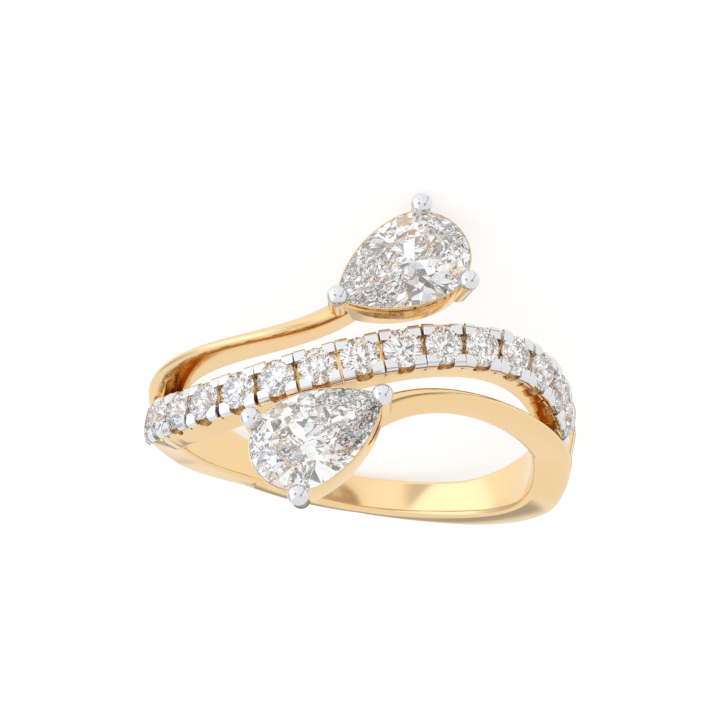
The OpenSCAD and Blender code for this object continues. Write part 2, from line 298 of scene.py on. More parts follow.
def quarter(steps, start=0):
    """Angles of a quarter turn, in radians."""
    return [math.pi / 2 * i / steps for i in range(start, steps + 1)]


def foot_arc(edge, reach, floor, rise):
    """Rounding between the finger hole and a wall at offset edge; reach points from the wall into the metal."""
    return [(edge + reach * (1 - math.sin(f)), floor + rise * (1 - math.cos(f))) for f in quarter(FOOT_STEPS)]


class Strand:
    """Path, edges and height of the strand of round stones."""

    def __init__(self):
        self.size, self.band = settings()[1], Band()
        self.r = self.band.size.finger_r
        self.row_end = self.half_steps(2 * self.size.side_stones + 1) + CLAW_TO_GOLD

    def path(self, t):
        return -self.size.swing * deg_sin(180 * t / self.size.swing_angle)

    def rate(self, t):
        return -self.size.swing * deg_cos(180 * t / self.size.swing_angle) * math.pi / self.size.swing_angle

    def claw_top(self, t):
        return self.r + self.size.wall + self.size.wall_gain * abs(deg_sin(t))

    def slope(self, t):
        return math.degrees(math.atan2(self.rate(t), self.claw_top(t) * math.pi / 180))

    def half_steps(self, count):
        """Angle after that many half pitches from the middle stone."""
        t = 0.0
        for _ in range(count):
            t += self.size.pitch / 2 / math.hypot(self.claw_top(t) * math.pi / 180, self.rate(t))
        return t

    def stone_angles(self):
        n = self.size.side_stones
        return [math.copysign(self.half_steps(2 * abs(i)), i) for i in range(-n, n + 1)]

    def slit_angles(self):
        """Angles of the slits between the stones."""
        half = [self.half_steps(2 * i + 1) for i in range(self.size.side_stones)]
        return [-t for t in reversed(half)] + half

    def free_foot(self, t, side):
        """Offset of an edge at the finger, where the strand runs by itself."""
        return self.path(t) + side * self.size.half_w / deg_cos(self.slope(t))

    def far_foot(self, t):
        if t < MERGE_FROM:
            return self.free_foot(t, -1)
        past = t - MERGE_FROM
        share = (1 - ease(*MERGE_OUT, past)) / (1 + (past / MERGE_FADE) ** MERGE_POWER)
        end = END_SINK * ease(END_FROM, STRAND_END, t) - self.band.size.back_half_w
        return mix(end, self.free_foot(MERGE_FROM, -1), share)

    def near_foot(self, t):
        if t < MERGE_FROM:
            return self.free_foot(t, 1)
        return mix(self.free_foot(MERGE_FROM, 1), NEAR_STAY, ease(*NEAR_MERGE, t))

    def top(self, t):
        below = mix(*BELOW_CREST, ease(self.row_end, BELOW_UNTIL, t)) + END_DEPTH * ease(END_FROM, STRAND_END, t)
        on = ease(self.row_end, self.row_end + 1, t)
        return mix(self.claw_top(t) - self.size.claw_h, self.r + self.band.wall(t) - below, on)

    def section(self, t):
        far, near = self.far_foot(t), self.near_foot(t)
        lean = mix(self.size.half_w - self.size.top_half_w, 0, ease(self.row_end, UPRIGHT_AT, t))
        r = mix(FAR_EDGE, FAR_EDGE_AFTER, ease(self.row_end, self.row_end + FAR_EDGE_RUN, t))
        r = mix(r, BACK_ROUND, ease(UPRIGHT_AT, STRAND_END, t))
        top, floor, edge = self.top(t), self.r + STRAND_LIFT, self.band.size.edge_round
        run = top - self.r + STRAND_FOOT_DEPTH
        share = (STRAND_FOOT_DEPTH + edge) / run
        points = foot_arc(mix(near + STRAND_FLARE * lean, near - lean, share), -edge, floor, edge)
        points += [(near - lean - NEAR_EDGE * (1 - math.cos(f)), top - NEAR_EDGE * (1 - math.sin(f)))
                   for f in quarter(FOOT_STEPS)]
        points += [(far + lean + r * (1 - math.cos(f)), top - r * (1 - math.sin(f)))
                   for f in reversed(quarter(EDGE_STEPS))]
        points += foot_arc(mix(far - STRAND_FLARE * lean, far + lean, share), edge, floor, edge)[::-1]
        return points

    def stations(self):
        half = [self.row_end * i / ROW_SECTIONS for i in range(ROW_SECTIONS + 1)]
        half += [self.row_end + i / RISE_SECTIONS for i in range(1, RISE_SECTIONS + 1)]
        half += [mix(self.row_end + 1, STRAND_END, i / REST_SECTIONS) for i in range(1, REST_SECTIONS + 1)]
        return [-t for t in reversed(half[1:])] + half

    def at_stone(self, t):
        place = deg_turn(t, "Y") @ Matrix.Translation((0, -self.path(t), self.claw_top(t)))
        return place @ deg_turn(-self.slope(t), "Z")


# ---- mesh helpers ----


def new_object(name, mesh):
    piece = bpy.data.objects.new(name, mesh)
    bpy.context.scene.collection.objects.link(piece)
    return piece


def bmesh_object(name, bm):
    """Object from a closed bmesh, its faces outwards."""
    bmesh.ops.recalc_face_normals(bm, faces=bm.faces)
    mesh = bpy.data.meshes.new(name)
    bm.to_mesh(mesh)
    bm.free()
    return new_object(name, mesh)


def skin(name, rings):
    """Closed skin through rings of points with the same number of points each."""
    bm = bmesh.new()
    rows = [[bm.verts.new(p) for p in ring] for ring in rings]
    n = len(rows[0])
    for a, b in zip(rows, rows[1:]):
        for i in range(n):
            bm.faces.new((a[i], b[i], b[(i + 1) % n], a[(i + 1) % n]))
    bm.faces.new(rows[0])
    bm.faces.new(rows[-1][::-1])
    return bmesh_object(name, bm)


def lathe(name, profile, steps=48):
    """Turned body about Z from (radius, z) points; a radius of 0 closes an end."""
    bm = bmesh.new()
    rows = []
    for r, z in profile:
        if r == 0:
            rows.append([bm.verts.new((0, 0, z))])
        else:
            rows.append([bm.verts.new((r * math.cos(a), r * math.sin(a), z)) for a in
                         (2 * math.pi * i / steps for i in range(steps))])
    for a, b in zip(rows, rows[1:]):
        for i in range(steps):
            j = (i + 1) % steps
            corners = [a[i % len(a)], a[j % len(a)], b[j % len(b)], b[i % len(b)]]
            bm.faces.new(list(dict.fromkeys(corners)))
    return bmesh_object(name, bm)


def prism(name, outline, low, high):
    return skin(name, [[(x, y, low) for x, y in outline], [(x, y, high) for x, y in outline]])


def drop(*things):
    for thing in things:
        bpy.data.objects.remove(thing, do_unlink=True)


def settle(piece):
    """Turns the piece and its modifiers into a plain mesh."""
    bpy.context.view_layer.update()
    made = piece.evaluated_get(bpy.context.evaluated_depsgraph_get())
    mesh = bpy.data.meshes.new_from_object(made)
    piece.modifiers.clear()
    piece.data = mesh
    return piece


def combine(piece, operation, *tools):
    """Boolean of the piece with each tool in turn; the tools are used up."""
    for tool in tools:
        step = piece.modifiers.new("Combine", "BOOLEAN")
        step.operation = operation
        step.solver = "MANIFOLD"
        step.object = tool
        settle(piece)
        if not piece.data.polygons:
            raise RuntimeError(f"{operation} of {piece.name} and {tool.name} left nothing")
        drop(tool)
    return piece


def placed(piece, matrix):
    piece.data.transform(matrix)
    return piece


SMOOTH_GOLD, SMOOTH_WHITE = 32, 40


def dress(piece, material, smooth):
    """Material, and shading that keeps edges over that angle sharp; 0 keeps every edge sharp."""
    piece.data.materials.clear()
    piece.data.materials.append(material)
    for face in piece.data.polygons:
        face.use_smooth = smooth > 0
    if smooth:
        piece.data.set_sharp_from_angle(angle=math.radians(smooth))
    return piece


HOLLOW_START, HOLLOW_REACH, HOLLOW_RAYS, HOLLOW_BLUR = 0.02, 4.0, 48, 6


def mark_hollows(piece):
    """Vertex attribute that says how closed in each point is: 0 in the open, 1 deep in a corner. The gold material
    paints its colour darker by it, as painted shade.
    """
    mesh = piece.data
    tree = BVHTree.FromPolygons([v.co for v in mesh.vertices], [f.vertices for f in mesh.polygons])
    fan = []
    for i in range(HOLLOW_RAYS):
        up = math.sqrt(1 - (i + 0.5) / HOLLOW_RAYS)
        out, turn = math.sqrt(1 - up * up), math.pi * (3 - math.sqrt(5)) * i
        fan.append(Vector((out * math.cos(turn), out * math.sin(turn), up)))
    closed = []
    for v in mesh.vertices:
        frame_turn = v.normal.to_track_quat("Z", "Y")
        start = v.co + v.normal * HOLLOW_START
        hits = sum(tree.ray_cast(start, frame_turn @ way, HOLLOW_REACH)[0] is not None for way in fan)
        closed.append(hits / HOLLOW_RAYS)
    for _ in range(HOLLOW_BLUR):
        total, count = closed[:], [1] * len(closed)
        for a, b in (e.vertices for e in mesh.edges):
            total[a] += closed[b]
            total[b] += closed[a]
            count[a] += 1
            count[b] += 1
        closed = [t / c for t, c in zip(total, count)]
    mesh.attributes.new("hollow", "FLOAT", "POINT").data.foreach_set("value", closed)
    return piece


def hand_over(piece, slot, *nodes):
    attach(piece, "root")
    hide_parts(*nodes)


# ---- materials ----

# How closed in a point must be for the gold's painted shade to begin and to be full
HOLLOW_RANGE = (0.42, 0.82)
# Lowest and highest roughness, and strength of the polishing marks
GOLD_FINISH, WHITE_FINISH = (0.10, 0.16, 0.05), (0.05, 0.1, 0.03)
METAL_CLOUDS, METAL_MARKS, MARK_DEPTH = 260.0, 5200.0, 0.00001
STONE_CLOUDS, STONE_TINT = 300.0, (0.985, 0.99, 1.0)
FLOOR_GRAIN, FLOOR_SHADE, FLOOR_ROUGH = 400.0, 0.99, 0.7
WHITE = (1.0, 1.0, 1.0)


def new_material(name):
    material = bpy.data.materials.new(name)
    material.use_nodes = True
    return material, material.node_tree, material.node_tree.nodes["Principled BSDF"]


def noise(tree, scale, detail=2.0, place=None):
    """Noise over the object's own coordinates, or over another place."""
    node = tree.nodes.new("ShaderNodeTexNoise")
    node.inputs["Scale"].default_value = scale
    node.inputs["Detail"].default_value = detail
    place = place or tree.nodes.new("ShaderNodeTexCoord").outputs["Object"]
    tree.links.new(place, node.inputs["Vector"])
    return node.outputs["Fac"]


def ramp(tree, value, low, high, at_low, at_high, kind="SMOOTHSTEP"):
    """What goes from at_low to at_high while the value goes from low to high."""
    node = tree.nodes.new("ShaderNodeMapRange")
    node.interpolation_type = kind
    for name, number in (("From Min", low), ("From Max", high), ("To Min", at_low), ("To Max", at_high)):
        node.inputs[name].default_value = number
    tree.links.new(value, node.inputs["Value"])
    return node.outputs["Result"]


def blend(tree, factor, a, b):
    """Colour from a to b; a is a colour or a socket, b is a colour."""
    node = tree.nodes.new("ShaderNodeMix")
    node.data_type = "RGBA"
    tree.links.new(factor, node.inputs["Factor"])
    if isinstance(a, bpy.types.NodeSocket):
        tree.links.new(a, node.inputs["A"])
    else:
        node.inputs["A"].default_value = (*a, 1)
    node.inputs["B"].default_value = (*b, 1)
    return node.outputs["Result"]


def polished_metal(name, bright, deep, rough_low, rough_high, scratch, painted_shade=None):
    """Polished metal with a faint cloudiness, and fine polishing marks in its bump.

    With the last argument, a colour, it is painted towards that colour deep in corners: painted shade, not a real
    tone of the metal.
    """
    material, tree, shader = new_material(name)
    shader.inputs["Metallic"].default_value = 1.0
    cloud = noise(tree, METAL_CLOUDS, 3.0)
    marks = noise(tree, METAL_MARKS)
    colour = blend(tree, cloud, bright, deep)
    if painted_shade:
        # Painted shade: the colour goes towards the corner tone where the hollow attribute says a point is closed in
        hollow = tree.nodes.new("ShaderNodeAttribute")
        hollow.attribute_name = "hollow"
        colour = blend(tree, ramp(tree, hollow.outputs["Fac"], *HOLLOW_RANGE, 0.0, 1.0), colour, painted_shade)
    bump = tree.nodes.new("ShaderNodeBump")
    bump.inputs["Strength"].default_value = scratch
    bump.inputs["Distance"].default_value = MARK_DEPTH
    tree.links.new(colour, shader.inputs["Base Color"])
    tree.links.new(ramp(tree, cloud, 0.0, 1.0, rough_low, rough_high, "LINEAR"), shader.inputs["Roughness"])
    tree.links.new(marks, bump.inputs["Height"])
    tree.links.new(bump.outputs["Normal"], shader.inputs["Normal"])
    return material


def cut_stone_material(name, ior):
    """Clear cut stone: refracting, with a very faint change of tint through it."""
    material, tree, shader = new_material(name)
    shader.inputs["Transmission Weight"].default_value = 1.0
    shader.inputs["IOR"].default_value = ior
    shader.inputs["Roughness"].default_value = 0.0
    tint = blend(tree, noise(tree, STONE_CLOUDS), WHITE, STONE_TINT)
    tree.links.new(tint, shader.inputs["Base Color"])
    return material


def shared_material(name, make):
    return bpy.data.materials.get(name) or make(name)


def gold_material():
    looks = settings()[3]
    return shared_material("yellow_gold_polished", lambda name: polished_metal(
        name, looks.gold, looks.gold_deep, *GOLD_FINISH, looks.gold_painted_shade))


def white_material():
    looks = settings()[3]
    return shared_material("white_gold_polished", lambda name: polished_metal(
        name, looks.white, looks.white_deep, *WHITE_FINISH))


def stone_material():
    return shared_material("cut_stone_clear", lambda name: cut_stone_material(name, settings()[3].stone_ior))


# ---- repeated shapes on the strand ----


def row_tree():
    """Geometry nodes that set one shape on every point of a row, turned by the row's own attribute."""
    tree = bpy.data.node_groups.get("Row of cells")
    if tree:
        return tree
    tree = bpy.data.node_groups.new("Row of cells", "GeometryNodeTree")
    for label, kind in (("Row", "NodeSocketGeometry"), ("Cell", "NodeSocketObject"),
                        ("Cell size", "NodeSocketFloat"), ("Finish", "NodeSocketMaterial")):
        socket = tree.interface.new_socket(label, in_out="INPUT", socket_type=kind)
        if label == "Cell size":
            socket.default_value = 1.0
    tree.interface.new_socket("Cells", in_out="OUTPUT", socket_type="NodeSocketGeometry")
    start, points, cell, turn, euler, spread, real, finish, end = (tree.nodes.new(kind) for kind in (
        "NodeGroupInput", "GeometryNodeMeshToPoints", "GeometryNodeObjectInfo",
        "GeometryNodeInputNamedAttribute", "FunctionNodeEulerToRotation", "GeometryNodeInstanceOnPoints",
        "GeometryNodeRealizeInstances", "GeometryNodeSetMaterial", "NodeGroupOutput"))
    turn.data_type = "FLOAT_VECTOR"
    turn.inputs["Name"].default_value = "cell_turn"
    for giver, given, taker, taken in (
            (start, "Row", points, "Mesh"), (start, "Cell", cell, "Object"), (points, "Points", spread, "Points"),
            (cell, "Geometry", spread, "Instance"), (turn, "Attribute", euler, "Euler"),
            (euler, "Rotation", spread, "Rotation"), (start, "Cell size", spread, "Scale"),
            (spread, "Instances", real, "Geometry"), (real, "Geometry", finish, "Geometry"),
            (start, "Finish", finish, "Material"), (finish, "Geometry", end, "Cells")):
        tree.links.new(giver.outputs[given], taker.inputs[taken])
    return tree


def row_of(name, cell, material, strand, angles=None):
    """One mesh with the cell at each round stone of the strand, or at other angles along it."""
    places = [strand.at_stone(t) for t in angles or strand.stone_angles()]
    mesh = bpy.data.meshes.new(name)
    mesh.from_pydata([m.to_translation() for m in places], [], [])
    turns = mesh.attributes.new("cell_turn", "FLOAT_VECTOR", "POINT")
    for item, m in zip(turns.data, places):
        item.vector = m.to_euler("XYZ")
    row = new_object(name, mesh)
    spread = row.modifiers.new("Cells", "NODES")
    spread.node_group = row_tree()
    given = {"Cell": cell, "Cell size": 1.0, "Finish": material}
    for item in spread.node_group.interface.items_tree:
        if item.in_out == "INPUT" and item.name in given:
            spread[item.identifier] = given[item.name]
    settle(row)
    drop(cell)
    return row


GAP, ROUND_STEPS = 0.02, 64
# How deep a stone's girdle sits, and the parts of its diameter that its girdle, crown and pavilion take
ROUND_SINK, GIRDLE_PART, CROWN_PART, PAVILION_PART = 0.12, 0.03, 0.15, 0.43
# Run of the crown in radii, and how far the claws lean over it
CROWN_RUN, TIP_OVER = 0.44, 0.28
CLAW_DEEP, CLAW_LONG, CLAW_DOME, CLAW_STEPS, BEVEL = 0.56, 0.6, (0.26, 0.27), 10, 0.02
SEAT_FOOT_R, SEAT_ROOM, SEAT_EDGE = 0.12, 0.03, 0.1
NOTCH_R, NOTCH_DEEP, NOTCH_UP, NOTCH_STEPS = 0.4, 0.26, 0.5, 20
SLIT, SLIT_DEEP, CUT_PAST = 0.1, 0.15, 0.3


def stone_room(strand, name):
    """The space of one round stone with a little play, open upwards."""
    r = strand.size.round_d / 2 + GAP
    girdle = -ROUND_SINK + GIRDLE_PART / 2 * strand.size.round_d
    fall = CROWN_PART * strand.size.round_d / (r * CROWN_RUN)
    tip = r - TIP_OVER
    profile = [(0, -2), (r, -2), (r, girdle), (tip, girdle + TIP_OVER * fall), (tip, 1), (0, 1)]
    return lathe(name, profile, ROUND_STEPS)


def claw_cell(strand, material):
    """The two pairs of white claws at the ends of one stone's cell."""
    s = strand.size
    half = (s.pitch - SLIT) / 2
    top, base, outer = 0.0, -s.claw_h + GAP, s.top_half_w
    dome_in, dome_h = CLAW_DOME
    profile = [(outer - CLAW_DEEP, base), (outer + BEVEL, base), (outer + 2 * BEVEL, base + BEVEL)]
    profile += [(outer + 2 * BEVEL - dome_in * (1 - math.sin(f)), -dome_h + dome_h * math.cos(f))
                for f in reversed(quarter(CLAW_STEPS))]
    profile += [(outer - CLAW_DEEP, top)]
    cell = None
    for turn in (0, math.pi):
        for x in (-half, half - CLAW_LONG):
            ends = [(x, BEVEL), (x + BEVEL, 0), (x + CLAW_LONG - BEVEL, 0), (x + CLAW_LONG, BEVEL)]
            rings = []
            for at, inset in ends:
                rings.append([(at, y - inset * (y > outer - CLAW_DEEP), z - inset * (z > base)) for y, z in profile])
            claw = placed(skin("claw", rings), Matrix.Rotation(turn, 4, "Z"))
            cell = claw if cell is None else combine(cell, "UNION", claw)
    combine(cell, "DIFFERENCE", stone_room(strand, "stone_room"))
    return dress(cell, material, SMOOTH_WHITE)


def seat_cutter(strand):
    """Cone under a round stone."""
    s = strand.size
    r = s.round_d / 2 + GAP
    depth = (PAVILION_PART + GIRDLE_PART) * s.round_d + 3 * GAP
    low = -ROUND_SINK - depth
    wide = r + SEAT_ROOM
    profile = [(0, low), (SEAT_FOOT_R, low), (wide, -ROUND_SINK - SEAT_EDGE), (wide, 1), (0, 1)]
    return lathe("seat", profile, ROUND_STEPS)


def notch_cutter(strand):
    """Rounded notch through both walls of the strand, under the middle of a stone."""
    s = strand.size
    base = -s.claw_h
    outline = [(NOTCH_R * math.cos(a), base + NOTCH_DEEP * math.sin(a)) for a in
               (math.pi + math.pi * i / NOTCH_STEPS for i in range(NOTCH_STEPS + 1))]
    outline += [(NOTCH_R, base + NOTCH_UP), (-NOTCH_R, base + NOTCH_UP)]
    reach = s.half_w + CUT_PAST
    return skin("notch", [[(x, y, z) for x, z in outline] for y in (-reach, reach)])


def slit_cutter(strand):
    """Narrow slit across the top of the strand, between the cells of two stones."""
    s = strand.size
    low, half, reach = -s.claw_h - SLIT_DEEP, SLIT / 2, s.half_w + CUT_PAST
    outline = ((-half, low), (half, low), (half, 1), (-half, 1))
    return skin("slit", [[(x, y, z) for x, z in outline] for y in (-reach, reach)])


# ---- pear stones ----

WALL_OUT, WALL_IN, WALL_TAPER = 0.08, 0.32, 0.12
RIM_TOP, RIM_FOOT, WINDOW_TOP = 0.24, 0.6, 0.8
BALL_FOOT, BALL_ROOM, BALL_SEAT_UP = 0.3, 0.03, 0.7
# Places and leans of the claws; the first stands at the point
CLAW_OUT, CLAW_ANGLE, CLAW_LEANS = 0.29, 60.9, (5, 12, 12)
CLAW_FOOT, CLAW_FOOT_STEPS = 0.2, 6
FOOT_BEVEL, OPEN_END = 0.05, 0.3
# How far the rim's edge steps in, and down
RIM_EDGE = ((0, 0.06), (0.015, 0.02), (0.05, 0))
# Side of the outline, start and end along the wing, and depth
WINDOWS = ((-1, 0.1, 0.9, 0.8), (1, 0.1, 0.45, 0.6))
WINDOW_REACH, WINDOW_STEPS = 0.85, 32
PEAR_STEPS, BALL_STEPS = 12, 28
GIRDLE_DROP = 0.25
PEAR_CROWN, PEAR_PAVILION, PEAR_GIRDLE = 0.62, 1.86, 0.08
# Parts of the way from the middle to the girdle, half the angle between two facets, and the girdle's wave
TABLE, STAR, KEEL, HALF_FACET, GIRDLE_WAVE = 0.56, 0.79, 0.24, 22.5, 0.006
PEAR_MIDDLE = 0.61


class Pear:
    """Outline and places of a pear stone, in its own axes: x from the point to the round end, z through the table."""

    def __init__(self):
        self.size = settings()[2]
        self.r = self.size.width / 2
        self.back = self.size.length - self.r
        self.wing_r = (self.back ** 2 + self.r ** 2) / self.size.width
        self.mid = Vector((self.size.length * PEAR_MIDDLE, 0))

    def wing(self, grow, f):
        a = mix(math.asin((self.wing_r - self.r) / (self.wing_r + grow)), math.pi / 2, f)
        r = self.wing_r + grow
        return (self.back - r * math.cos(a), r * math.sin(a) - self.wing_r + self.r)

    def outline(self, grow, per):
        """8 * per points, from the point round the far side."""
        points = [self.wing(grow, j / (2 * per)) for j in range(2 * per)]
        for j in range(4 * per + 1):
            a = math.pi / 2 - math.pi * j / (4 * per)
            points.append((self.back + (self.r + grow) * math.cos(a), (self.r + grow) * math.sin(a)))
        back = [self.wing(grow, j / (2 * per)) for j in range(2 * per - 1, 0, -1)]
        return points + [(x, -y) for x, y in back]

    def claw_spot(self, i):
        if i == 0:
            return Vector((0, 0, 0))
        out = self.r + CLAW_OUT
        return Vector((self.back + out * deg_cos(CLAW_ANGLE), (1 if i == 1 else -1) * out * deg_sin(CLAW_ANGLE), 0))

    def place(self, side):
        near = Matrix.Translation(self.size.place) @ deg_turn(-self.size.turn, "Z") @ deg_turn(self.size.lean, "Y")
        return near if side == "near" else Matrix.Rotation(math.pi, 4, "Z") @ near


def plane_cut(bm, a, b, c, inside):
    """Takes off what lies beyond the plane through three points, seen from a point inside, and closes it."""
    normal = (b - a).cross(c - a).normalized()
    if normal.dot(inside - a) > 0:
        normal.negate()
    done = bmesh.ops.bisect_plane(bm, geom=bm.verts[:] + bm.edges[:] + bm.faces[:], dist=1e-6,
                                  plane_co=a, plane_no=normal, clear_outer=True)
    edges = [e for e in done["geom_cut"] if isinstance(e, bmesh.types.BMEdge) and e.is_boundary]
    if edges:
        bmesh.ops.edgeloop_fill(bm, edges=edges)


def pear_stone(name, pear, grow=0.0, per=PEAR_STEPS):
    """Cut pear stone with flat facets: table, stars, mains and halves, and a pavilion that ends in a point."""
    outline = [Vector(p) for p in pear.outline(grow, per)]
    n, mid = len(outline), pear.mid
    crown, pavilion, girdle = PEAR_CROWN + grow, PEAR_PAVILION + grow, PEAR_GIRDLE / 2 + grow
    rough = prism(name, outline, -girdle - pavilion - 0.1, girdle + crown)
    bm = bmesh.new()
    bm.from_mesh(rough.data)
    inside = Vector((mid.x, 0, 0))

    def up(p, z):
        return Vector((p.x, p.y, z))

    def level(p, part, z):
        return up(mid + (p - mid) * part, z)

    star_z = girdle + crown * (1 - STAR * deg_cos(HALF_FACET)) / (1 - TABLE)
    keel_z = -girdle - pavilion * (1 - KEEL * deg_cos(HALF_FACET))
    culet = Vector((mid.x, mid.y, -girdle - pavilion))
    for i in range(8):
        here, half, there = outline[i * per], outline[i * per + per // 2], outline[(i + 1) * per % n]
        before, after = outline[i * per - 1], outline[(i * per + 1) % n]
        along = (after - before).normalized() if i else Vector((0, 1))
        table_a, table_b = level(here, TABLE, girdle + crown), level(there, TABLE, girdle + crown)
        star = level(half, STAR, star_z)
        plane_cut(bm, table_a, up(here, girdle), up(here + along, girdle), inside)
        plane_cut(bm, table_a, table_b, star, inside)
        plane_cut(bm, star, up(here, girdle), up(half, girdle - GIRDLE_WAVE), inside)
        plane_cut(bm, star, up(half, girdle - GIRDLE_WAVE), up(there, girdle), inside)
        deep = level(half, KEEL, keel_z)
        plane_cut(bm, culet, up(here, -girdle), up(here + along, -girdle), inside)
        plane_cut(bm, deep, up(here, -girdle), up(half, -girdle + GIRDLE_WAVE), inside)
        plane_cut(bm, deep, up(half, -girdle + GIRDLE_WAVE), up(there, -girdle), inside)
    bmesh.ops.remove_doubles(bm, verts=bm.verts, dist=1e-5)
    bmesh.ops.dissolve_degenerate(bm, edges=bm.edges, dist=1e-5)
    drop(rough)
    stone = bmesh_object(name, bm)
    return placed(stone, Matrix.Translation((0, 0, -GIRDLE_DROP)))


def window_cutter(pear, side, start, end, depth):
    """Half-moon window through the wall, along a chord of one wing."""
    a, b = Vector(pear.wing(0, start)), Vector(pear.wing(0, end))
    l = (b - a).length
    r = (l * l / 4 + depth * depth) / (2 * depth)
    reach = math.asin(min(1.0, l / 2 / r))
    if depth > r:
        reach = math.pi - reach
    turns = [mix(-reach, reach, i / WINDOW_STEPS) for i in range(WINDOW_STEPS + 1)]
    outline = [(r * math.sin(f), r - r * math.cos(f)) for f in turns]
    cutter = skin("window", [[(x, y, z) for x, z in outline] for y in (-WINDOW_REACH, WINDOW_REACH)])
    middle = (a + b) / 2
    turn = side * math.atan2(b.y - a.y, b.x - a.x)
    place = Matrix.Translation((middle.x, side * middle.y, -WINDOW_TOP - depth))
    return placed(cutter, place @ Matrix.Rotation(turn, 4, "Z"))


def basket(pear):
    """Gold wall round a pear stone with its windows and three claws."""
    s = pear.size
    drop_z = -s.basket_drop
    foot = WALL_OUT - WALL_TAPER
    levels = [(foot - FOOT_BEVEL, drop_z), (foot, drop_z + FOOT_BEVEL)]
    levels += [(WALL_OUT - step, -RIM_TOP - down) for step, down in RIM_EDGE]
    wall = skin("basket", [[(x, y, z) for x, y in pear.outline(grow, PEAR_STEPS)] for grow, z in levels])
    combine(wall, "DIFFERENCE", prism("hollow", pear.outline(-WALL_IN, PEAR_STEPS), drop_z - 1, 1),
            *(window_cutter(pear, *window) for window in WINDOWS))
    end = pear.claw_spot(1).x - OPEN_END
    open_end = [(end, -s.width), (end + s.length, -s.width), (end + s.length, s.width), (end, s.width)]
    combine(wall, "DIFFERENCE", prism("open_end", open_end, drop_z - 1, -RIM_FOOT))
    round_foot = [(s.claw_r - CLAW_FOOT + CLAW_FOOT * math.sin(f), drop_z + CLAW_FOOT - CLAW_FOOT * math.cos(f))
                  for f in quarter(CLAW_FOOT_STEPS)]
    for i, lean in enumerate(CLAW_LEANS):
        p = pear.claw_spot(i)
        aim = math.atan2(p.y, p.x - pear.back)
        claw = lathe("claw", [(0, drop_z)] + round_foot + [(s.claw_r, 0), (0, 0)], ROUND_STEPS)
        turn = Matrix.Rotation(aim, 4, "Z") @ deg_turn(lean, "Y")
        placed(claw, Matrix.Translation(p) @ turn)
        combine(wall, "UNION", claw)
    for i in range(3):
        p = pear.claw_spot(i)
        low, r = -BALL_FOOT - GAP, s.ball_r + BALL_ROOM
        seat = lathe("ball_seat", [(0, low), (r, low), (r, BALL_SEAT_UP), (0, BALL_SEAT_UP)], ROUND_STEPS)
        combine(wall, "DIFFERENCE", placed(seat, Matrix.Translation(p)))
    return combine(wall, "DIFFERENCE", pear_stone("stone_room", pear, GAP))


# ---- operators ----


class RING_OT_gold(bpy.types.Operator):
    """Make the gold: plain band, strand base and both pear baskets as one soldered piece"""

    bl_idname = "ring.make_gold"
    bl_label = "Gold body"

    def execute(self, context):
        band, strand, pear = Band(), Strand(), Pear()
        angles = [mix(BAND_END, 360 - BAND_END, i / BAND_SECTIONS) for i in range(BAND_SECTIONS + 1)]
        gold = skin("gold_ring_body", [ring_of(band.section(min(t, 360 - t)), t, t > 180) for t in angles])
        base = skin("strand_base", [ring_of(strand.section(abs(t)), t, t < 0) for t in strand.stations()])
        combine(base, "DIFFERENCE", row_of("seats", seat_cutter(strand), None, strand),
                row_of("notches", notch_cutter(strand), None, strand),
                row_of("slits", slit_cutter(strand), None, strand, strand.slit_angles()))
        combine(gold, "UNION", base)
        for side in SIDES:
            combine(gold, "UNION", placed(basket(pear), pear.place(side)))
        # How closed in each point is, for the painted shade in the gold's corners
        placed(mark_hollows(gold), laying())
        dress(gold, gold_material(), SMOOTH_GOLD)
        hand_over(gold, "yellow_gold", GOLD_NODE)
        return {"FINISHED"}


class RING_OT_claws(bpy.types.Operator):
    """Make the white claws of the strand, two pairs at every round stone"""

    bl_idname = "ring.make_claws"
    bl_label = "Strand claws"

    def execute(self, context):
        strand = Strand()
        white = white_material()
        claws = row_of("strand_white_claws", claw_cell(strand, white), white, strand)
        placed(claws, laying())
        dress(claws, white, SMOOTH_WHITE)
        hand_over(claws, "white_gold", CLAW_NODE)
        return {"FINISHED"}


class RING_OT_balls(bpy.types.Operator):
    """Make the six white balls on the claws of the pears"""

    bl_idname = "ring.make_balls"
    bl_label = "White balls"

    def execute(self, context):
        pear = Pear()
        r = pear.size.ball_r
        low = math.acos(BALL_FOOT / r)
        for side in SIDES:
            for i in range(3):
                turns = [mix(low, math.pi, k / BALL_STEPS) for k in range(BALL_STEPS)]
                profile = [(0, -BALL_FOOT)] + [(r * math.sin(f), -r * math.cos(f)) for f in turns] + [(0, r)]
                ball = lathe(f"{side}_white_ball_{i + 1}", profile, ROUND_STEPS)
                placed(ball, Matrix.Translation(pear.claw_spot(i)))
                combine(ball, "DIFFERENCE", pear_stone("stone_room", pear, GAP))
                placed(ball, laying() @ pear.place(side))
                dress(ball, white_material(), SMOOTH_WHITE)
                hand_over(ball, "white_gold", f"{side}_ball_{i + 1}")
        return {"FINISHED"}


class RING_OT_pears(bpy.types.Operator):
    """Cut the two pear stones with flat facets"""

    bl_idname = "ring.make_pears"
    bl_label = "Pear stones"

    def execute(self, context):
        pear = Pear()
        for side in SIDES:
            stone = pear_stone(f"{side}_pear_stone", pear)
            placed(stone, laying() @ pear.place(side))
            dress(stone, stone_material(), 0)
            hand_over(stone, "stone", f"{side}_pear")
        return {"FINISHED"}


class RING_OT_round_stones(bpy.types.Operator):
    """Give the round stones of the strand their finish"""

    bl_idname = "ring.dress_round_stones"
    bl_label = "Round stones"

    def execute(self, context):
        count = 2 * settings()[1].side_stones + 1
        for i in range(count):
            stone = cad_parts[f"round_stone_{i + 1}"]
            stone.data.materials.clear()
            stone.data.materials.append(stone_material())
        return {"FINISHED"}


CAMERA_TO = Vector((0.0577, -0.3551, 0.9330))
CAMERA_RIGHT = Vector((0.9869, 0.1607, 0.0))
# How far the ring's middle lies below the middle of the picture, in mm
RING_LOW = 3.35
KEY_SIZE, KEY_AWAY = (0.34, 0.12), 0.5
MAX_BOUNCES = 24
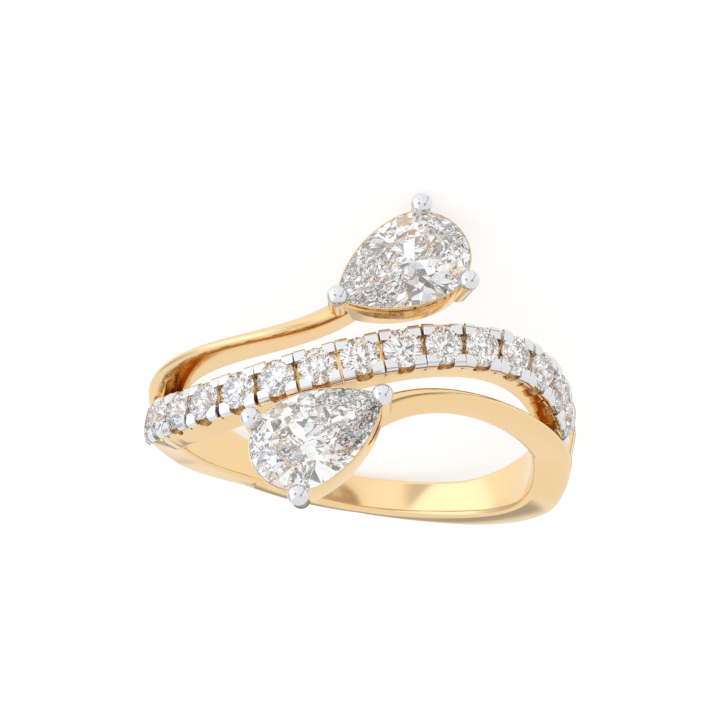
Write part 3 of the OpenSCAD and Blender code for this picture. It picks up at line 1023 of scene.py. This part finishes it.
# Directions are (degrees off the camera, degrees round it). A zone goes from one cosine to another off its
# middle, and from one tone to another.
HALVES = ((90, 90), -0.5, 0.4, 1.04, 1.12)
SOFT_ZONES = (((70, 155), 0.3, 0.9, 1.0, 1.15), ((180, 0), 0.93, 0.985, 1.0, 0.3))
# An opening between the soft boxes: its start and end
SEAMS = (((30, -4), (128, 54)),)
SEAM_HALF, SEAM_SOFT, SEAM_TONE, SEAM_FADE = 0.03, 0.04, 0.3, (-0.03, 0.01)
# Dim spots between them: middle, size in radians and tone of each, and how many times that size its edge fades over
KNOT_FADE = 1.7
KNOTS = (((32, 165), 0.2, 0.45), ((35, -10), 0.16, 0.5), ((143, -104), 0.055, 0.4), ((112, 188), 0.28, 0.62))
# The brightest soft box: its middle and reach, and the cooler colour of its light
BOX_MIDDLE, BOX_REACH, BOX_SOFT = (72, 178), 0.718, 0.006
BOX_GLOW, BOX_GLOW_SPAN, BOX_COLOUR = (62, 175), (0.5, 0.788), (1.2, 1.28, 1.42)
# Its edge is dimmed from outside: middle and reach of the dim zone, and what it takes off
BOX_SHADE, BOX_SHADE_REACH, BOX_SHADE_DEPTH = (64, 131), 0.961, 0.42
# The stones see a room of bright and dark patches, which makes their facets crisp.
GEM_PATCHES = 2.4
GEM_TONES = (
    (0.42, (0.02, 0.02, 0.02, 1)), (0.46, (0.45, 0.45, 0.45, 1)),
    (0.51, (0.95, 0.95, 0.95, 1)), (0.60, (1.1, 1.1, 1.1, 1)),
)


def studio_world(room):
    """Soft boxes all round: a bright upper half, a softer lower half, and narrow dark openings between them."""
    world = bpy.data.worlds.new("soft_room")
    world.use_nodes = True
    tree = world.node_tree
    nodes, links = tree.nodes, tree.links
    way = nodes.new("ShaderNodeTexCoord").outputs["Generated"]

    def math_node(operation, a, b=None, c=None):
        node = nodes.new("ShaderNodeMath")
        node.operation = operation
        for socket, value in zip(node.inputs, (a, b, c)):
            if isinstance(value, (int, float)):
                socket.default_value = value
            elif value is not None:
                links.new(value, socket)
        return node.outputs[0]

    def along(direction):
        node = nodes.new("ShaderNodeVectorMath")
        node.operation = "DOT_PRODUCT"
        node.inputs[1].default_value = direction
        links.new(way, node.inputs[0])
        return node.outputs["Value"]

    def aim(off, around):
        return room @ Vector((deg_sin(off) * deg_cos(around), deg_sin(off) * deg_sin(around), deg_cos(off)))

    def zone(place, *span):
        return ramp(tree, along(aim(*place)), *span)

    tone = zone(*HALVES)
    for soft in SOFT_ZONES:
        tone = math_node("MULTIPLY", tone, zone(*soft))
    for start, end in SEAMS:
        a, b = aim(*start), aim(*end)
        off = math_node("ABSOLUTE", along(a.cross(b).normalized()))
        line = ramp(tree, off, SEAM_HALF, SEAM_HALF + SEAM_SOFT, 1.0, 0.0)
        middle = (a + b).normalized()
        reach = ramp(tree, along(middle), *(middle.dot(a) + past for past in SEAM_FADE), 0.0, 1.0)
        line = math_node("MULTIPLY", line, reach)
        tone = math_node("MULTIPLY", tone, math_node("MULTIPLY_ADD", line, SEAM_TONE - 1.0, 1.0))
    box = zone(BOX_MIDDLE, BOX_REACH - BOX_SOFT, BOX_REACH + BOX_SOFT, 0.0, 1.0)
    outside = math_node("SUBTRACT", 1.0, box)
    shade = math_node("MULTIPLY", outside, zone(BOX_SHADE, BOX_SHADE_REACH, 1.0, 0.0, 1.0))
    tone = math_node("MULTIPLY", tone, math_node("MULTIPLY_ADD", shade, -BOX_SHADE_DEPTH, 1.0))
    for place, size, knot in KNOTS:
        tone = math_node("MULTIPLY", tone, zone(place, math.cos(size * KNOT_FADE), math.cos(size), 1.0, knot))
    gem_tone = nodes.new("ShaderNodeValToRGB")
    gem_tone.color_ramp.elements[0].position, gem_tone.color_ramp.elements[0].color = GEM_TONES[0]
    gem_tone.color_ramp.elements[1].position, gem_tone.color_ramp.elements[1].color = GEM_TONES[-1]
    for place, colour in GEM_TONES[1:-1]:
        gem_tone.color_ramp.elements.new(place).color = colour
    links.new(noise(tree, GEM_PATCHES, 1.0, way), gem_tone.inputs["Fac"])
    through = nodes.new("ShaderNodeLightPath")
    pick = nodes.new("ShaderNodeMix")
    links.new(through.outputs["Is Transmission Ray"], pick.inputs["Factor"])
    links.new(tone, pick.inputs["A"])
    links.new(gem_tone.outputs["Color"], pick.inputs["B"])
    sky = nodes["Background"]
    links.new(pick.outputs["Result"], sky.inputs["Strength"])
    glow = math_node("MULTIPLY", box, zone(BOX_GLOW, *BOX_GLOW_SPAN, 0.0, 1.0))
    clear = math_node("SUBTRACT", 1.0, through.outputs["Is Transmission Ray"])
    links.new(blend(tree, math_node("MULTIPLY", glow, clear), WHITE, BOX_COLOUR), sky.inputs["Color"])
    return world


def pale_floor(colour, glow):
    """Matt floor that gives off some light by itself."""
    material, tree, shader = new_material("pale_floor")
    shader.inputs["Roughness"].default_value = FLOOR_ROUGH
    shader.inputs["Specular IOR Level"].default_value = 0.0
    shader.inputs["Emission Strength"].default_value = glow
    shader.inputs["Emission Color"].default_value = (*WHITE, 1)
    shade = blend(tree, noise(tree, FLOOR_GRAIN), colour, [c * FLOOR_SHADE for c in colour])
    tree.links.new(shade, shader.inputs["Base Color"])
    return material


class RING_OT_stage(bpy.types.Operator):
    """Set the floor, the light and the camera"""

    bl_idname = "ring.make_stage"
    bl_label = "Stage"

    def execute(self, context):
        scene = context.scene
        looks, stage = settings()[3:]
        floor = new_object("floor", bpy.data.meshes.new("floor"))
        h = stage.floor_size / 2
        floor.data.from_pydata([(-h, -h, 0), (h, -h, 0), (h, h, 0), (-h, h, 0)], [], [(0, 1, 2, 3)])
        floor.data.materials.append(pale_floor(looks.floor, looks.floor_glow))
        floor.visible_glossy = floor.visible_transmission = False

        turn = laying().to_3x3().normalized()
        to_camera = (turn @ CAMERA_TO).normalized()
        right = turn @ CAMERA_RIGHT
        right = (right - to_camera * right.dot(to_camera)).normalized()
        up = to_camera.cross(right)
        room = Matrix((right, up, to_camera)).transposed()
        middle = Vector(stage.shift) * MM
        camera = bpy.data.objects.new("camera", bpy.data.cameras.new("camera"))
        scene.collection.objects.link(camera)
        eye = middle + to_camera * stage.away * MM + up * RING_LOW * MM
        camera.matrix_world = Matrix.Translation(eye) @ room.to_4x4()
        camera.data.lens = stage.lens
        camera.data.sensor_width = 36.0
        camera.data.clip_start, camera.data.clip_end = 0.01, 10.0
        scene.camera = camera

        light = bpy.data.lights.new("key_panel", "AREA")
        light.shape = "RECTANGLE"
        light.size, light.size_y = KEY_SIZE
        light.energy = stage.key_power
        key = bpy.data.objects.new("key_panel", light)
        scene.collection.objects.link(key)
        flat = Vector((to_camera.x, to_camera.y, 0)).normalized()
        way = flat * deg_cos(stage.key_height) + Vector((0, 0, deg_sin(stage.key_height)))
        key.location = middle + way * KEY_AWAY
        key.rotation_euler = way.to_track_quat("Z", "Y").to_euler()
        key.visible_glossy = key.visible_transmission = False

        scene.world = studio_world(room)
        scene.view_settings.view_transform = "Standard"
        scene.cycles.max_bounces = scene.cycles.transmission_bounces = MAX_BOUNCES
        scene.cycles.glossy_bounces = MAX_BOUNCES
        return {"FINISHED"}


class RING_PT_panel(bpy.types.Panel):
    """Steps that make the wrap ring"""

    bl_idname = "RING_PT_panel"
    bl_label = "Wrap ring"
    bl_space_type = "VIEW_3D"
    bl_region_type = "UI"
    bl_category = "Ring"

    def draw(self, context):
        for step in STEPS:
            self.layout.operator(step.bl_idname)
        for key, group in GROUPS.items():
            settings_box = self.layout.box()
            for name in group.__annotations__:
                settings_box.prop(getattr(context.scene, key), name)


STEPS = (RING_OT_stage, RING_OT_gold, RING_OT_claws, RING_OT_balls, RING_OT_pears, RING_OT_round_stones)
GROUPS = {
    "ring_band": RingBandSizes,
    "ring_strand": RingStrandSizes,
    "ring_pear": RingPearSizes,
    "ring_looks": RingLooks,
    "ring_stage": RingStage,
}
CLASSES = (*GROUPS.values(), *STEPS, RING_PT_panel)


def register():
    for cls in CLASSES:
        bpy.utils.register_class(cls)
    for name, group in GROUPS.items():
        setattr(bpy.types.Scene, name, bpy.props.PointerProperty(type=group))


def unregister():
    for name in GROUPS:
        delattr(bpy.types.Scene, name)
    for cls in reversed(CLASSES):
        bpy.utils.unregister_class(cls)


def main():
    register()
    bpy.ops.ring.make_stage()
    bpy.ops.ring.make_gold()
    bpy.ops.ring.make_claws()
    bpy.ops.ring.make_balls()
    bpy.ops.ring.make_pears()
    bpy.ops.ring.dress_round_stones()


if __name__ == "__main__":
    main()
